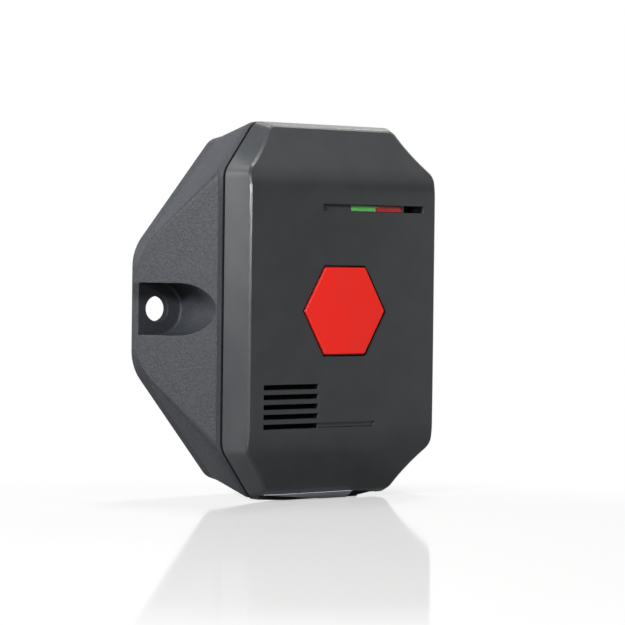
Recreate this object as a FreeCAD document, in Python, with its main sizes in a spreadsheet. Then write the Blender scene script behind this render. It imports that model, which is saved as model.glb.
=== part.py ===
import FreeCAD, Part
import Sketcher
import math
import os

# Wireless wall panic button: a flat octagonal cover with a red hexagonal push button, indicator windows
# and a sound grille snaps on to a deep base whose sides slope back to two screw ears.
# The origin is the centre of the wall face, +Z is up and the front looks along -Y.
# Places along Y are written as depths: how far a thing stands out from the wall.

doc = FreeCAD.newDocument("PanicButton")
sheet = doc.addObject("Spreadsheet::Sheet", "Sizes")
pieces = []
size_names = []


class Length:
    """A length written as an expression on the sheet of sizes."""

    def __init__(self, text):
        self.text = text

    @property
    def value(self):
        return float(sheet.evalExpression(self.text))

    def __add__(self, other):
        return Length(f"({self.text} + {text_of(other)})")

    def __radd__(self, other):
        return Length(f"({text_of(other)} + {self.text})")

    def __sub__(self, other):
        return Length(f"({self.text} - {text_of(other)})")

    def __rsub__(self, other):
        return Length(f"({text_of(other)} - {self.text})")

    def __mul__(self, other):
        return Length(f"({self.text} * {text_of(other)})")

    def __rmul__(self, other):
        return Length(f"({text_of(other)} * {self.text})")

    def __truediv__(self, other):
        return Length(f"({self.text} / {text_of(other)})")

    def __neg__(self):
        return Length(f"(0 - {self.text})")


def text_of(amount):
    return amount.text if isinstance(amount, Length) else repr(amount)


def as_length(amount):
    return amount if isinstance(amount, Length) else Length(repr(amount))


def root(amount):
    return Length(f"sqrt({amount.text})")


def size(name, amount):
    """Writes one driving size on the sheet, in millimetres unless its comment says otherwise."""
    size_names.append(name)
    row = len(size_names)
    sheet.set(f"A{row}", name)
    sheet.set(f"B{row}", str(amount))
    sheet.setAlias(f"B{row}", name)
    return Length(f"Sizes.{name}")


# Outer form of the housing
overall_depth = size("overall_depth", 26.5)
cover_depth = size("cover_depth", 8.3)
seam_gap = size("seam_gap", 0.6)
rim_depth = size("rim_depth", 1.75)
flange_thickness = size("flange_thickness", 2.5)
seam_half_width = size("seam_half_width", 25.9)
seam_half_height = size("seam_half_height", 40.2)
seam_chamfer_width = size("seam_chamfer_width", 7.6)
seam_chamfer_height = size("seam_chamfer_height", 10.8)
seam_side_radius = size("seam_side_radius", 5.0)
seam_end_radius = size("seam_end_radius", 3.0)
cover_side_draft = size("cover_side_draft", 0.8)
cover_end_draft = size("cover_end_draft", 2.45)
front_chamfer_width = size("front_chamfer_width", 10.8)
front_chamfer_height = size("front_chamfer_height", 8.2)
front_corner_radius = size("front_corner_radius", 3.0)
base_flare = size("base_flare", 11.2)
base_end_draft = size("base_end_draft", 2.8)
rear_chamfer_width = size("rear_chamfer_width", 20.2)
rear_chamfer_height = size("rear_chamfer_height", 24.9)
rear_side_radius = size("rear_side_radius", 1.0)
rear_end_radius = size("rear_end_radius", 4.5)
ear_corner_radius = size("ear_corner_radius", 10.0)
ear_trim_height = size("ear_trim_height", 4.0)
# The top and bottom of the face lean back; the lean is millimetres back for each millimetre of height
facet_height = size("facet_height", 9.75)
facet_lean = size("facet_lean", 0.46)
facet_bend_radius = size("facet_bend_radius", 14.0)
face_edge_width = size("face_edge_width", 0.4)
tool_overrun = size("tool_overrun", 5.0)

# Walls and the stepped joint between cover and base
wall = size("wall", 2.2)
face_wall = size("face_wall", 2.0)
floor_thickness = size("floor_thickness", 2.0)
lip_length = size("lip_length", 1.6)
lip_inset = size("lip_inset", 1.3)
joint_clearance = size("joint_clearance", 0.2)
part_clearance = size("part_clearance", 0.3)
foot_overlap = size("foot_overlap", 1.0)

# Screw ears
screw_edge_distance = size("screw_edge_distance", 4.6)
screw_hole_radius = size("screw_hole_radius", 2.7)
pocket_radius = size("pocket_radius", 5.6)
pocket_shift = size("pocket_shift", 0.8)
ear_recess_depth = size("ear_recess_depth", 1.2)
ear_recess_radius = size("ear_recess_radius", 1.5)
ear_edge = size("ear_edge", 1.5)
core_depth = size("core_depth", 9.0)
core_skin = size("core_skin", 2.6)

# Release tongue at the bottom, which stands a little proud, and hooks at the top
notch_half_width = size("notch_half_width", 15.4)
notch_depth = size("notch_depth", 1.5)
tongue_half_width = size("tongue_half_width", 9.7)
tongue_thickness = size("tongue_thickness", 1.6)
tongue_proud = size("tongue_proud", 0.6)
tongue_root = size("tongue_root", 3.2)
tongue_slit = size("tongue_slit", 0.8)
hook_centre = size("hook_centre", 10.0)
hook_width = size("hook_width", 5.0)
hook_thickness = size("hook_thickness", 1.3)
hook_reach = size("hook_reach", 3.8)
hook_catch = size("hook_catch", 0.8)
catch_lead = size("catch_lead", 0.5)
catch_length = size("catch_length", 1.3)
catch_room = size("catch_room", 1.9)

# Push button
button_width = size("button_width", 22.5)
button_gap = size("button_gap", 0.3)
button_proud = size("button_proud", 0.3)
button_travel = size("button_travel", 1.2)
button_corner_radius = size("button_corner_radius", 0.6)
button_edge_width = size("button_edge_width", 0.3)
button_plate = size("button_plate", 1.8)
button_wall = size("button_wall", 1.2)
button_flange = size("button_flange", 1.0)
flange_width = size("flange_width", 1.2)
stop_clearance = size("stop_clearance", 0.1)
stem_radius = size("stem_radius", 2.5)
collar_height = size("collar_height", 1.2)
collar_wall = size("collar_wall", 0.9)
spring_radius = size("spring_radius", 5.3)
spring_wire = size("spring_wire", 0.7)
spring_turns = size("spring_turns", 4.0)
spring_clearance = size("spring_clearance", 0.3)
spring_rest_gap = size("spring_rest_gap", 0.03)

# Indicator groove and its windows
groove_side_margin = size("groove_side_margin", 4.4)
groove_end_margin = size("groove_end_margin", 15.65)
groove_length = size("groove_length", 27.5)
groove_height = size("groove_height", 1.5)
groove_recess = size("groove_recess", 0.5)
window_spacing = size("window_spacing", 0.7)
lens_length = size("lens_length", 7.0)
lens_clearance = size("lens_clearance", 0.1)
lens_flange = size("lens_flange", 0.8)
light_pipe_length = size("light_pipe_length", 3.6)
led_length = size("led_length", 3.2)
led_width = size("led_width", 2.8)
led_case = size("led_case", 0.8)
led_height = size("led_height", 1.1)
led_window_radius = size("led_window_radius", 1.1)
microphone_slot_length = size("microphone_slot_length", 5.1)
microphone_radius = size("microphone_radius", 2.6)
microphone_height = size("microphone_height", 2.2)
boot_wall = size("boot_wall", 0.5)

# Sound grille
grille_side_margin = size("grille_side_margin", 4.7)
grille_end_margin = size("grille_end_margin", 17.5)
slot_length = size("slot_length", 14.4)
slot_height = size("slot_height", 1.1)
slot_pitch = size("slot_pitch", 2.08)
groove_tail = size("groove_tail", 15.2)
tail_recess = size("tail_recess", 0.35)
tail_overlap = size("tail_overlap", 1.0)
slot_count = 5

# Circuit board and what is on it
board_standoff = size("board_standoff", 7.0)
board_thickness = size("board_thickness", 1.6)
board_side_margin = size("board_side_margin", 3.6)
board_end_margin = size("board_end_margin", 6.4)
board_chamfer_width = size("board_chamfer_width", 4.6)
board_chamfer_height = size("board_chamfer_height", 6.5)
boss_side_margin = size("boss_side_margin", 5.7)
boss_end_margin = size("boss_end_margin", 2.9)
boss_radius = size("boss_radius", 2.3)
screw_radius = size("screw_radius", 0.9)
screw_length = size("screw_length", 5.0)
screw_head_radius = size("screw_head_radius", 2.0)
screw_head_height = size("screw_head_height", 1.4)
screw_hole_clearance = size("screw_hole_clearance", 0.4)
thread_clearance = size("thread_clearance", 0.05)
switch_width = size("switch_width", 6.0)
switch_height = size("switch_height", 3.5)
actuator_radius = size("actuator_radius", 1.75)
actuator_depth = size("actuator_depth", 1.5)
actuator_root = size("actuator_root", 1.4)
seat_height = size("seat_height", 1.0)
seat_lip = size("seat_lip", 1.2)
seat_wall = size("seat_wall", 0.9)
seat_ledge = size("seat_ledge", 0.4)

# Radio card and its wound antenna
card_side_margin = size("card_side_margin", 1.1)
card_width = size("card_width", 13.2)
card_height = size("card_height", 18.0)
card_thickness = size("card_thickness", 0.8)
card_antenna_gap = size("card_antenna_gap", 3.8)
shield_margin = size("shield_margin", 0.8)
shield_height = size("shield_height", 2.0)
shield_top_margin = size("shield_top_margin", 4.5)
antenna_boss_distance = size("antenna_boss_distance", 10.1)
antenna_groove_distance = size("antenna_groove_distance", 5.2)
antenna_radius = size("antenna_radius", 2.0)
antenna_wire = size("antenna_wire", 0.7)
antenna_foot = size("antenna_foot", 1.2)
antenna_height = size("antenna_height", 3.6)
antenna_turns = size("antenna_turns", 3.0)

# Smaller parts on the board
chip_edge_distance = size("chip_edge_distance", 7.8)
chip_centre_z = size("chip_centre_z", 5.0)
chip_width = size("chip_width", 5.2)
chip_length = size("chip_length", 8.4)
chip_height = size("chip_height", 1.5)
chip_standoff = size("chip_standoff", 0.1)
lead_pitch = size("lead_pitch", 1.27)
lead_width = size("lead_width", 0.4)
lead_reach = size("lead_reach", 0.8)
lead_root = size("lead_root", 0.2)
lead_height = size("lead_height", 0.35)
lead_count = 6
crystal_edge_distance = size("crystal_edge_distance", 2.8)
crystal_length = size("crystal_length", 10.0)
crystal_width = size("crystal_width", 4.2)
crystal_height = size("crystal_height", 3.2)
crystal_top = size("crystal_top", -2.6)
crystal_end_radius = size("crystal_end_radius", 2.0)
capacitor_edge_distance = size("capacitor_edge_distance", 9.8)
capacitor_grille_distance = size("capacitor_grille_distance", 5.25)
capacitor_radius = size("capacitor_radius", 3.1)
capacitor_height = size("capacitor_height", 5.9)

# Speaker
speaker_radius = size("speaker_radius", 7.8)
speaker_depth = size("speaker_depth", 4.2)
speaker_shoulder = size("speaker_shoulder", 0.5)
speaker_rim_width = size("speaker_rim_width", 1.0)
basket_depth = size("basket_depth", 2.4)
basket_floor = size("basket_floor", 0.8)
shoulder_width = size("shoulder_width", 0.9)
mesh_margin = size("mesh_margin", 0.6)
mesh_clearance = size("mesh_clearance", 0.1)
mesh_thickness = size("mesh_thickness", 0.25)
magnet_radius = size("magnet_radius", 4.2)
diaphragm_setback = size("diaphragm_setback", 1.2)
diaphragm_film = size("diaphragm_film", 0.15)
dome_radius = size("dome_radius", 3.4)
dome_rise = size("dome_rise", 0.5)
ring_wall = size("ring_wall", 0.8)
ring_height = size("ring_height", 3.4)
terminal_offset = size("terminal_offset", 2.6)
terminal_width = size("terminal_width", 1.4)
terminal_pad = size("terminal_pad", 4.0)
terminal_strip = size("terminal_strip", 0.4)
terminal_rise = size("terminal_rise", 1.6)

# Batteries and their holder
cell_radius = size("cell_radius", 5.25)
cell_length = size("cell_length", 44.5)
cell_pitch = size("cell_pitch", 11.4)
cell_clearance = size("cell_clearance", 0.15)
nub_radius = size("nub_radius", 1.9)
nub_height = size("nub_height", 1.0)
holder_wall = size("holder_wall", 1.2)
holder_height = size("holder_height", 9.5)
holder_corner_radius = size("holder_corner_radius", 1.0)
scoop_depth = size("scoop_depth", 5.0)
scoop_half_length = size("scoop_half_length", 8.0)
contact_thickness = size("contact_thickness", 0.4)
contact_room = size("contact_room", 2.4)
contact_inset = size("contact_inset", 0.8)
contact_skirt = size("contact_skirt", 3.2)
leaf_half_width = size("leaf_half_width", 1.5)
leaf_half_root = size("leaf_half_root", 2.8)
leaf_half_crown = size("leaf_half_crown", 0.6)
leaf_gap = size("leaf_gap", 0.05)

doc.recompute()

# Outlines that follow from the seam, so that the housing keeps its form when a size changes
front_half_width = seam_half_width - cover_side_draft
front_half_height = seam_half_height - cover_end_draft
rear_half_width = seam_half_width + base_flare
rear_half_height = seam_half_height - base_end_draft
rear_corner_z = rear_half_height - rear_chamfer_height
rear_run = rear_chamfer_width / rear_chamfer_height
facet_start = front_half_height - facet_height
ear_x = rear_half_width - screw_edge_distance

# Depths that several pieces share
cover_edge = overall_depth - cover_depth
base_edge = cover_edge - seam_gap
rim_back = base_edge - rim_depth
lip_end = base_edge + lip_length
rebate_end = lip_end + part_clearance
inner_face = overall_depth - face_wall
board_front = inner_face - board_standoff
board_back = board_front - board_thickness
button_front = overall_depth + button_proud
plate_back = button_front - button_plate
flange_front = inner_face - stop_clearance
flange_back = flange_front - button_flange
switch_top = board_front + switch_height
actuator_tip = switch_top + actuator_depth
seat_top = board_front + seat_height
groove_floor = overall_depth - groove_recess
speaker_front = inner_face - speaker_shoulder
hook_back = cover_edge - hook_reach

# Places on the front and on the board
groove_right = seam_half_width - groove_side_margin
groove_left = groove_right - groove_length
groove_centre = front_half_height - groove_end_margin
groove_low = groove_centre - groove_height / 2
groove_high = groove_centre + groove_height / 2
windows_right = groove_right - microphone_slot_length - window_spacing
green_left = windows_right - lens_length * 2
microphone_x = groove_right - microphone_slot_length / 2
grille_left = grille_side_margin - seam_half_width
grille_centre = grille_end_margin - front_half_height
speaker_x = grille_left + slot_length / 2
board_half_width = seam_half_width - board_side_margin
board_half_height = seam_half_height - board_end_margin
boss_x = board_half_width - boss_side_margin
boss_z = board_half_height - boss_end_margin
antenna_x = antenna_boss_distance - boss_x
antenna_z = groove_centre + antenna_groove_distance
hook_top = seam_half_height - wall - part_clearance


def plane_of(body, role):
    return [feature for feature in body.Origin.OriginFeatures if feature.Role == role][0]


def new_body(label):
    """Starts a sub-part: its label names the exported file."""
    body = doc.addObject("PartDesign::Body", label)
    body.Label = label
    pieces.append(body)
    return body


def tool_body(label):
    """Starts a body that only shapes another one."""
    body = doc.addObject("PartDesign::Body", label)
    body.Label = label
    return body


def new_sketch(body, name, role, across, up, along):
    """A sketch on one of the body's own planes, moved in that plane and along its normal."""
    sketch = body.newObject("Sketcher::SketchObject", name)
    sketch.AttachmentSupport = (plane_of(body, role), [""])
    sketch.MapMode = "FlatFace"
    sketch.setExpression("AttachmentOffset.Base.x", as_length(across).text)
    sketch.setExpression("AttachmentOffset.Base.y", as_length(up).text)
    sketch.setExpression("AttachmentOffset.Base.z", as_length(along).text)
    return sketch


def hold(sketch, *rules):
    """Adds constraints together. Each is given with the length that drives it, or with None."""
    first = sketch.ConstraintCount
    sketch.addConstraint([rule for rule, length in rules])
    for index, (rule, length) in enumerate(rules, first):
        if length:
            sketch.setExpression(f"Constraints[{index}]", length.text)


def pinned(geometry, vertex, x, y):
    """The two rules that hold a point of the sketch at its distances from the origin."""
    return [(Sketcher.Constraint("DistanceX", -1, 1, geometry, vertex, x.value), x),
            (Sketcher.Constraint("DistanceY", -1, 1, geometry, vertex, y.value), y)]


def counter_clockwise(corners):
    """The same corners, in the order that keeps the inside on the left."""
    places = [(as_length(corner[0]).value, as_length(corner[1]).value) for corner in corners]
    turn = sum(x0 * y1 - x1 * y0 for (x0, y0), (x1, y1) in zip(places, places[1:] + places[:1]))
    return corners if turn > 0 else corners[::-1]


def polygon(*corners):
    """A closed outline through corners (x, y) or, where a corner is rounded, (x, y, radius)."""
    def draw(sketch):
        count = len(corners)
        ordered = counter_clockwise(corners)
        places = [(as_length(c[0]), as_length(c[1])) for c in ordered]
        points = [FreeCAD.Vector(x.value, y.value, 0) for x, y in places]
        radii = [as_length(c[2]) if len(c) == 3 else None for c in ordered]
        starts, ends, middles, convex = [], [], [], []
        for i in range(count):
            before = (points[i - 1] - points[i]).normalize()
            after = (points[(i + 1) % count] - points[i]).normalize()
            half_angle = before.getAngle(after) / 2
            radius = radii[i].value if radii[i] else 0.0
            setback = radius / math.tan(half_angle)
            bisector = (before + after).normalize()
            starts.append(points[i] + before * setback)
            ends.append(points[i] + after * setback)
            middles.append(points[i] + bisector * (radius / math.sin(half_angle) - radius))
            convex.append(after.cross(before).z > 0)
        sides = []
        for i in range(count):
            line = Part.LineSegment(ends[i], starts[(i + 1) % count])
            sides.append(sketch.addGeometry(line, False))
        rules = []
        for i in range(count):
            x, y = places[i]
            if radii[i]:
                corner = sketch.addGeometry(Part.Point(points[i]), True)
                rules += pinned(corner, 1, x, y)
                rules.append((Sketcher.Constraint("PointOnObject", corner, 1, sides[i - 1]), None))
                rules.append((Sketcher.Constraint("PointOnObject", corner, 1, sides[i]), None))
                first, last = (1, 2) if convex[i] else (2, 1)
                bend = (starts[i], middles[i], ends[i])
                arc = sketch.addGeometry(Part.Arc(*(bend if convex[i] else bend[::-1])), False)
                rules.append((Sketcher.Constraint("Tangent", sides[i - 1], 2, arc, first), None))
                rules.append((Sketcher.Constraint("Tangent", sides[i], 1, arc, last), None))
                rules.append((Sketcher.Constraint("Radius", arc, radii[i].value), radii[i]))
            else:
                rules.append((Sketcher.Constraint("Coincident", sides[i - 1], 2, sides[i], 1), None))
                rules += pinned(sides[i], 1, x, y)
        hold(sketch, *rules)
    return draw


def rectangle(left, right, bottom, top, *radius):
    """An upright rectangle, with rounded corners if a radius is given."""
    return polygon((left, bottom, *radius), (right, bottom, *radius), (right, top, *radius), (left, top, *radius))


def disc(x, y, radius):
    """A circle."""
    def draw(sketch):
        centre = FreeCAD.Vector(as_length(x).value, as_length(y).value, 0)
        ring = sketch.addGeometry(Part.Circle(centre, FreeCAD.Vector(0, 0, 1), radius.value), False)
        radius_rule = (Sketcher.Constraint("Radius", ring, radius.value), radius)
        hold(sketch, radius_rule, *pinned(ring, 3, as_length(x), as_length(y)))
    return draw


def sketch_at(body, name, role, across, up, along, outlines):
    sketch = new_sketch(body, name + "_sketch", role, across, up, along)
    for outline in outlines:
        outline(sketch)
    return sketch


def front_sketch(body, name, depth, *outlines):
    """A sketch seen from the front, at a depth from the wall: its axes are X and Z."""
    return sketch_at(body, name, "XZ_Plane", 0, 0, depth, outlines)


def extrude(body, kind, name, sketch, length):
    feature = body.newObject(kind, name)
    feature.Profile = sketch
    feature.setExpression("Length", length.text)
    doc.recompute()
    return feature


def prism(body, name, near, far, *outlines):
    """Adds a straight block between two depths."""
    near, far = as_length(near), as_length(far)
    return extrude(body, "PartDesign::Pad", name, front_sketch(body, name, near, *outlines), far - near)


def cut(body, name, near, far, *outlines):
    """Cuts a straight hole between two depths."""
    near, far = as_length(near), as_length(far)
    return extrude(body, "PartDesign::Pocket", name, front_sketch(body, name, far, *outlines), far - near)


def mirrored_depth(corners):
    """Turns corners (depth, height, radius) into corners on the side plane, where +Y runs to the wall."""
    return [(-as_length(corner[0]), *corner[1:]) for corner in corners]


def side_prism(body, name, left, right, *corners):
    """Adds a block between two places along X, from its side view in (depth, height)."""
    left, right = as_length(left), as_length(right)
    sketch = sketch_at(body, name, "YZ_Plane", 0, 0, left, [polygon(*mirrored_depth(corners))])
    return extrude(body, "PartDesign::Pad", name, sketch, right - left)


def side_cut(body, name, left, right, *corners):
    """Cuts a hole between two places along X, from its side view in (depth, height)."""
    left, right = as_length(left), as_length(right)
    sketch = sketch_at(body, name, "YZ_Plane", 0, 0, right, [polygon(*mirrored_depth(corners))])
    return extrude(body, "PartDesign::Pocket", name, sketch, right - left)


def turned(body, name, x, z, *corners):
    """Turns a profile in (depth, radius) about an axis that runs front to back through x, z."""
    sketch = sketch_at(body, name, "YZ_Plane", 0, z, x, [polygon(*mirrored_depth(corners))])
    feature = body.newObject("PartDesign::Revolution", name)
    feature.Profile = sketch
    feature.ReferenceAxis = (sketch, ["H_Axis"])
    doc.recompute()
    return feature


def turned_upright(body, name, x, depth, *corners):
    """Turns a profile in (radius, height) about an upright axis."""
    sketch = sketch_at(body, name, "XZ_Plane", x, 0, depth, [polygon(*corners)])
    feature = body.newObject("PartDesign::Revolution", name)
    feature.Profile = sketch
    feature.ReferenceAxis = (sketch, ["V_Axis"])
    doc.recompute()
    return feature


def loft(body, kind, name, near, near_outline, far, far_outline):
    """Joins two outlines at two depths with straight sides."""
    feature = body.newObject(kind, name)
    feature.Profile = front_sketch(body, name + "_near", near, near_outline)
    feature.Sections = [front_sketch(body, name + "_far", far, far_outline)]
    feature.Ruled = True
    doc.recompute()
    return feature


def wire_section(x, y, radius):
    """The section of a wound wire: four flats about the round wire's size keep the winding light."""
    return polygon((x + radius, y), (x, y + radius), (x - radius, y), (x, y - radius))


def coil(body, name, x, z, start, mean_radius, wire_radius, height, turns):
    """Winds a wire about a front-to-back axis, away from the wall."""
    section = [wire_section(-as_length(start), mean_radius, wire_radius)]
    sketch = sketch_at(body, name, "YZ_Plane", 0, z, x, section)
    feature = body.newObject("PartDesign::AdditiveHelix", name)
    feature.Profile = sketch
    feature.ReferenceAxis = (sketch, ["H_Axis"])
    feature.Mode = "pitch-height-angle"
    feature.setExpression("Pitch", (height / turns).text)
    feature.setExpression("Height", height.text)
    feature.Reversed = True
    doc.recompute()
    return feature


def mirrored_pair(outline_of):
    """The same outline on the right and on the left: outline_of takes +1 or -1."""
    return [outline_of(1), outline_of(-1)]


def octagon(half_width, half_height, chamfer_width, chamfer_height, *radii):
    """A rectangle with its corners cut off. Two radii, if given, round its side and its end corners."""
    side, end = (radii[:1], radii[1:]) if radii else ((), ())
    side_x, side_z = half_width, half_height - chamfer_height
    end_x, end_z = half_width - chamfer_width, half_height
    return polygon((side_x, -side_z, *side), (side_x, side_z, *side), (end_x, end_z, *end), (-end_x, end_z, *end),
                   (-side_x, side_z, *side), (-side_x, -side_z, *side), (-end_x, -end_z, *end), (end_x, -end_z, *end))


def chamfers_inset(chamfer_width, chamfer_height, inset):
    """The chamfer's two legs once an octagon is drawn in by the same amount all round."""
    slope = root(chamfer_width * chamfer_width + chamfer_height * chamfer_height)
    narrower = chamfer_width - inset * (1 - (slope - chamfer_width) / chamfer_height)
    shorter = chamfer_height - inset * (1 - (slope - chamfer_height) / chamfer_width)
    return narrower, shorter


def seam_octagon(inset):
    """The outline at the seam, drawn in by inset."""
    across, up = chamfers_inset(seam_chamfer_width, seam_chamfer_height, inset)
    return octagon(seam_half_width - inset, seam_half_height - inset, across, up,
                   seam_side_radius - inset, seam_end_radius - inset)


def inner_seam_octagon():
    """The inside of the walls at the seam, with plain corners."""
    across, up = chamfers_inset(seam_chamfer_width, seam_chamfer_height, wall)
    return octagon(seam_half_width - wall, seam_half_height - wall, across, up)


def front_octagon():
    """The outline that the cover's walls would reach at the flat front."""
    return octagon(front_half_width, front_half_height, front_chamfer_width, front_chamfer_height,
                   front_corner_radius, front_corner_radius)


def inner_front_octagon():
    across, up = chamfers_inset(front_chamfer_width, front_chamfer_height, wall)
    return octagon(front_half_width - wall, front_half_height - wall, across, up)


def rear_octagon(depth):
    """The base's outline at a depth in its flange. The long chamfers, square to the wall, make the ears."""
    rise = base_end_draft * (depth / rim_back)
    return octagon(rear_half_width, rear_half_height + rise, rear_chamfer_width + rear_run * rise,
                   rear_chamfer_height + rise, rear_side_radius, rear_end_radius)


def eight_sided(x, z, radius):
    """A regular octagon with its corners at a radius, for small round parts that repeat or stay hidden."""
    steps = [math.pi / 4 * (step + 0.5) for step in range(8)]
    return polygon(*[(x + radius * math.cos(step), z + radius * math.sin(step)) for step in steps])


def hexagon(half_width, *radius):
    """A regular hexagon with corners to the left and right, rounded if a radius is given."""
    half_height = half_width * math.sqrt(3) / 2
    return polygon((half_width, 0, *radius), (half_width / 2, half_height, *radius),
                   (-half_width / 2, half_height, *radius), (-half_width, 0, *radius),
                   (-half_width / 2, -half_height, *radius), (half_width / 2, -half_height, *radius))


def hexagon_inset(inset):
    """Half the width of the button's opening, drawn in by inset."""
    return button_width / 2 - inset * (2 / math.sqrt(3))


def lean_back(body, name, front):
    """Cuts the leaning top and bottom of the face, with a soft bend where they begin."""
    setback = overall_depth - front
    slope = root(1 + facet_lean * facet_lean)
    start = facet_start - setback * ((slope - 1) / facet_lean)
    bend = facet_bend_radius - setback
    reach = seam_half_height + tool_overrun
    fall = facet_lean * (reach - start)
    beyond = overall_depth + tool_overrun
    side = seam_half_width + tool_overrun
    return side_cut(body, name, -side, side,
                    (front - fall, -reach), (front, -start, bend), (front, start, bend),
                    (front - fall, reach), (beyond, reach), (beyond, -reach))


def faces_outward(face, least):
    """Whether a face looks to the front by at least the given share."""
    low_u, high_u, low_v, high_v = face.ParameterRange
    normal = face.normalAt((low_u + high_u) / 2, (low_v + high_v) / 2)
    return -normal.y > least


def front_rim_edges(shape, least):
    """The names of the edges between the front and the walls."""
    front = [edge for face in shape.Faces if faces_outward(face, least) for edge in face.Edges]
    walls = [edge for face in shape.Faces if not faces_outward(face, least) for edge in face.Edges]
    names = []
    for number, edge in enumerate(shape.Edges, 1):
        if any(edge.isSame(e) for e in front) and any(edge.isSame(e) for e in walls):
            names.append(f"Edge{number}")
    return names


def ease_front_rim(body, name, base, width, least):
    """Takes off the sharp edge where the front meets the walls."""
    feature = body.newObject("PartDesign::Chamfer", name)
    feature.Base = (base, front_rim_edges(base.Shape, least))
    feature.setExpression("Size", width.text)
    doc.recompute()
    return feature


def at_bosses(outline, radius):
    """An outline drawn four times, where the circuit board is screwed to the cover."""
    return [outline(boss_x * side, boss_z * end, radius) for side in (1, -1) for end in (1, -1)]


def speaker_ring(inner, outer):
    return [disc(speaker_x, grille_centre, outer), disc(speaker_x, grille_centre, inner)]


def mesh_outline(clearance):
    """The patch of cloth behind the grille, drawn in by clearance."""
    across = slot_length / 2 + mesh_margin - clearance
    up = slot_pitch * ((slot_count - 1) / 2) + slot_height / 2 + mesh_margin - clearance
    return rectangle(speaker_x - across, speaker_x + across, grille_centre - up, grille_centre + up)


def hook_outline(side):
    """Front view of one of the two hooks at the top of the cover."""
    middle = hook_centre * side
    return rectangle(middle - hook_width / 2, middle + hook_width / 2, hook_top - hook_thickness, hook_top)


def slot_outline(row):
    """One slot of the grille, counted from the top."""
    middle = grille_centre + slot_pitch * ((slot_count - 1) / 2 - row)
    return rectangle(grille_left, grille_left + slot_length, middle - slot_height / 2, middle + slot_height / 2)


def make_cover_hollow():
    """The space inside the cover, with room left for what stands on the cover's inner face."""
    hollow = tool_body("cover_hollow")
    loft(hollow, "PartDesign::AdditiveLoft", "hollow_form", cover_edge, inner_seam_octagon(),
         overall_depth, inner_front_octagon())
    lean_back(hollow, "hollow_facets", inner_face)
    cut(hollow, "boss_spaces", board_front, overall_depth, *at_bosses(disc, boss_radius))
    ring_inner = speaker_radius + stop_clearance
    ring_outer = ring_inner + ring_wall
    cut(hollow, "ring_space", inner_face - ring_height, overall_depth, *speaker_ring(ring_inner, ring_outer))
    cut(hollow, "shoulder_space", speaker_front, overall_depth,
        *speaker_ring(speaker_radius - shoulder_width, ring_outer))
    cut(hollow, "hook_spaces", cover_edge, overall_depth, *mirrored_pair(hook_outline))
    return hollow


def make_front_cover():
    hollow = make_cover_hollow()
    cover = new_body("front_cover")
    loft(cover, "PartDesign::AdditiveLoft", "cover_form", cover_edge, seam_octagon(as_length(0)),
         overall_depth, front_octagon())
    facets = lean_back(cover, "cover_facets", overall_depth)
    ease_front_rim(cover, "face_edge", facets, face_edge_width, 0.6)
    hollowed = cover.newObject("PartDesign::Boolean", "hollowed")
    hollowed.setObjects([hollow])
    hollowed.Type = "Cut"
    doc.recompute()

    cut(cover, "lip_rebate", cover_edge, rebate_end, seam_octagon(lip_inset - joint_clearance))
    prism(cover, "boss_feet", board_front, rebate_end + foot_overlap, *at_bosses(disc, boss_radius))
    pilot = screw_radius + thread_clearance
    cut(cover, "pilot_holes", board_front, board_front + screw_length + part_clearance,
        *at_bosses(eight_sided, pilot))
    make_hooks(cover)
    notch_top = -(seam_half_height - wall - part_clearance)
    cut(cover, "tongue_notch", cover_edge, cover_edge + notch_depth,
        rectangle(-notch_half_width, notch_half_width, -(seam_half_height + tool_overrun), notch_top))
    make_front_openings(cover)


def make_hooks(cover):
    """Two arms at the top whose noses snap behind the base's rim."""
    prism(cover, "hook_arms", hook_back, rebate_end + foot_overlap, *mirrored_pair(hook_outline))
    for side, name in ((1, "right"), (-1, "left")):
        middle = hook_centre * side
        root_z = hook_top - hook_thickness / 2
        side_prism(cover, name + "_hook_catch", middle - hook_width / 2, middle + hook_width / 2,
                   (hook_back, root_z), (hook_back, hook_top), (hook_back + catch_lead, hook_top + hook_catch),
                   (hook_back + catch_length, hook_top + hook_catch), (hook_back + catch_length, root_z))


def make_front_openings(cover):
    """The button's opening, the indicator groove with its windows, and the sound slots with their tail."""
    beyond = overall_depth + tool_overrun
    cut(cover, "button_opening", board_front, beyond, hexagon(hexagon_inset(0), button_corner_radius))
    cut(cover, "indicator_groove", groove_floor, beyond,
        rectangle(groove_left, groove_right, groove_low, groove_high))
    cut(cover, "lens_window", board_front, overall_depth,
        rectangle(green_left, windows_right, groove_low, groove_high))
    cut(cover, "microphone_slot", board_front, overall_depth,
        rectangle(groove_right - microphone_slot_length, groove_right, groove_low, groove_high))
    cut(cover, "grille_slots", speaker_front, beyond, *[slot_outline(row) for row in range(slot_count)])
    last = grille_centre - slot_pitch * (slot_count - 1) / 2
    tail_left = grille_left + slot_length - tail_overlap
    tail_right = grille_left + slot_length + groove_tail
    cut(cover, "groove_tail", overall_depth - tail_recess, beyond,
        rectangle(tail_left, tail_right, last - slot_height / 2, last + slot_height / 2))
    cut(cover, "mesh_recess", speaker_front, inner_face + mesh_thickness, mesh_outline(as_length(0)))


def ear_trim(side):
    """What is cut off outside one ear to round its two corners."""
    run = ear_trim_height * rear_run
    corner_x = rear_half_width * side
    trim_x = (rear_half_width - run) * side
    outside = (rear_half_width + tool_overrun) * side
    high = rear_corner_z + ear_trim_height
    return polygon((trim_x, high), (outside, high), (outside, -high), (trim_x, -high),
                   (corner_x, -rear_corner_z, ear_corner_radius), (corner_x, rear_corner_z, ear_corner_radius))


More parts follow.
